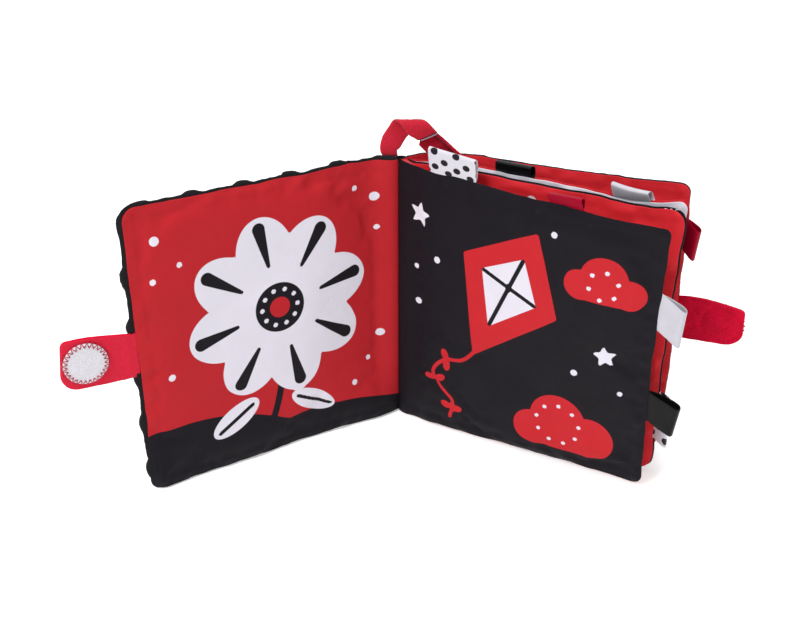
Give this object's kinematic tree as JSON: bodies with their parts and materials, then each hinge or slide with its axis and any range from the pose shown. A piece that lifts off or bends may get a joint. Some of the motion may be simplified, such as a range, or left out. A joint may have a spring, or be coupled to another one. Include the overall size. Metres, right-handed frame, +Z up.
{
  "type": "crinkle cloth book",
  "caption": "Square cloth book that stands open: padded crackling leaves sewn at a spine, ribbon tabs in the seams, closing straps with hook-and-loop discs, and a hanging loop.",
  "frame": {"origin": "on the surface that the book stands on, on the spine's axis, at the spine's lower end", "axes": "+Z up along the spine, +X towards the back cover and +Y away from the reader, so the front cover and the back cover both lean towards -Y"},
  "size_m": [0.3281, 0.1057, 0.1719],
  "materials": {
    "red_print": "printed satin-weave polyester, soft sheen",
    "black_print": "printed satin-weave polyester, soft sheen",
    "white_print": "printed satin-weave polyester, soft sheen",
    "black_plush": "short-pile plush with raised dots",
    "red_plush": "short-pile plush",
    "red_knit": "brushed knit",
    "crimson_satin": "glossy satin ribbon",
    "black_satin": "glossy satin ribbon",
    "white_satin": "glossy satin ribbon",
    "dotted_satin": "satin ribbon printed with round black dots",
    "wadding": "bonded polyester wadding",
    "film": "thin crackling film, crumpled",
    "hook_and_loop": "woven hook-and-loop tape",
    "seam_stack": "stack of sewn seam allowances, thread"
  },
  "bodies": {
    "back_cover": {"back_cover_page": "red_print", "back_cover_plush": "black_plush", "back_cover_wadding": "wadding", "back_cover_film": "film", "spine_seam_stack": "seam_stack", "spine_tape": "black_plush"},
    "leaf_3": {"leaf_3_front_page": "white_print", "leaf_3_back_page": "red_print", "leaf_3_wadding": "wadding", "leaf_3_film": "film"},
    "leaf_2": {"leaf_2_front_page": "red_print", "leaf_2_back_page": "black_print", "leaf_2_wadding": "wadding", "leaf_2_film": "film"},
    "leaf_1": {"leaf_1_front_page": "black_print", "leaf_1_back_page": "red_print", "leaf_1_wadding": "wadding", "leaf_1_film": "film"},
    "front_cover": {"front_cover_page": "red_print", "front_cover_plush": "black_plush", "front_cover_wadding": "wadding", "front_cover_film": "film"},
    "front_strap": {"front_strap_plush": "red_plush", "front_strap_lining": "red_knit", "hook_disc": "hook_and_loop"},
    "back_strap": {"back_strap_plush": "red_plush", "back_strap_lining": "red_knit", "loop_disc": "hook_and_loop"},
    "hanging_strap": {"hanging_strap": "red_knit", "hanging_hook_patch": "hook_and_loop"},
    "anchor_strap": {"anchor_strap": "red_knit", "anchor_loop_patch": "hook_and_loop"},
    "dotted_top_tab": {"dotted_top_tab": "dotted_satin"},
    "crimson_top_tab": {"crimson_top_tab": "crimson_satin"},
    "black_top_tab": {"black_top_tab": "black_satin"},
    "white_top_tab": {"white_top_tab": "white_satin"},
    "white_side_tab": {"white_side_tab": "white_satin"},
    "black_side_tab": {"black_side_tab": "black_satin"},
    "crimson_side_tab": {"crimson_side_tab": "crimson_satin"},
    "dotted_side_tab": {"dotted_side_tab": "dotted_satin"}
  },
  "joints": [
    {"name": "leaf_3_turn", "type": "hinge", "parent": "back_cover", "child": "leaf_3", "pos_m": [0, 0, 0.075], "axis": [0, 0, 1], "range_deg": [-50, 1.5]},
    {"name": "leaf_2_turn", "type": "hinge", "parent": "leaf_3", "child": "leaf_2", "pos_m": [0, 0, 0.075], "axis": [0, 0, 1], "range_deg": [-55, 2.5]},
    {"name": "leaf_1_turn", "type": "hinge", "parent": "leaf_2", "child": "leaf_1", "pos_m": [0, 0, 0.075], "axis": [0, 0, 1], "range_deg": [-80, 5]},
    {"name": "front_cover_turn", "type": "hinge", "parent": "back_cover", "child": "front_cover", "pos_m": [0, 0, 0.075], "axis": [0, 0, 1], "range_deg": [-100, 92]},
    {"name": "front_strap_fold", "type": "hinge", "parent": "front_cover", "child": "front_strap", "pos_m": [-0.12966, -0.07142, 0.079], "axis": [0, 0, 1], "range_deg": [-75, 85]},
    {"name": "back_strap_fold", "type": "hinge", "parent": "back_cover", "child": "back_strap", "pos_m": [0.13872, -0.04223, 0.079], "axis": [0, 0, -1], "range_deg": [-85, 55]},
    {"name": "hanging_strap_peel", "type": "hinge", "parent": "back_cover", "child": "hanging_strap", "pos_m": [-0.0062, 0.0006, 0.1503], "axis": [1, 0, 0], "range_deg": [0, 50]},
    {"name": "anchor_strap_peel", "type": "hinge", "parent": "back_cover", "child": "anchor_strap", "pos_m": [0.02385, 0.00233, 0.1503], "axis": [0.9401, -0.341, 0], "range_deg": [-75, 0]},
    {"name": "dotted_top_tab_flap", "type": "hinge", "parent": "leaf_1", "child": "dotted_top_tab", "pos_m": [0.02569, -0.02985, 0.14976], "axis": [0.7872, -0.6166, -0.0121], "range_deg": [-30, 30], "stiffness_Nm_per_rad": 0.0008},
    {"name": "crimson_top_tab_flap", "type": "hinge", "parent": "leaf_1", "child": "crimson_top_tab", "pos_m": [0.07363, -0.06675, 0.14961], "axis": [0.7935, -0.6085, 0.0086], "range_deg": [-30, 30], "stiffness_Nm_per_rad": 0.0008},
    {"name": "black_top_tab_flap", "type": "hinge", "parent": "leaf_3", "child": "black_top_tab", "pos_m": [0.05532, -0.02403, 0.14955], "axis": [0.8616, -0.5075, -0.0055], "range_deg": [-30, 30], "stiffness_Nm_per_rad": 0.0008},
    {"name": "white_top_tab_flap", "type": "hinge", "parent": "leaf_3", "child": "white_top_tab", "pos_m": [0.10788, -0.05499, 0.14987], "axis": [0.8615, -0.5075, 0.0145], "range_deg": [-30, 30], "stiffness_Nm_per_rad": 0.0008},
    {"name": "white_side_tab_flap", "type": "hinge", "parent": "leaf_1", "child": "white_side_tab", "pos_m": [0.11698, -0.08959, 0.1055], "axis": [-0.0693, -0.1072, 0.9918], "range_deg": [-30, 30], "stiffness_Nm_per_rad": 0.0008},
    {"name": "black_side_tab_flap", "type": "hinge", "parent": "leaf_1", "child": "black_side_tab", "pos_m": [0.12127, -0.08395, 0.0511], "axis": [-0.0874, -0.0982, 0.9913], "range_deg": [-30, 30], "stiffness_Nm_per_rad": 0.0008},
    {"name": "crimson_side_tab_flap", "type": "hinge", "parent": "leaf_3", "child": "crimson_side_tab", "pos_m": [0.13182, -0.06662, 0.1335], "axis": [-0.041, -0.124, 0.9914], "range_deg": [-30, 30], "stiffness_Nm_per_rad": 0.0008},
    {"name": "dotted_side_tab_flap", "type": "hinge", "parent": "leaf_2", "child": "dotted_side_tab", "pos_m": [0.13371, -0.06444, 0.0365], "axis": [-0.0765, -0.1069, 0.9913], "range_deg": [-30, 30], "stiffness_Nm_per_rad": 0.0008}
  ]
}
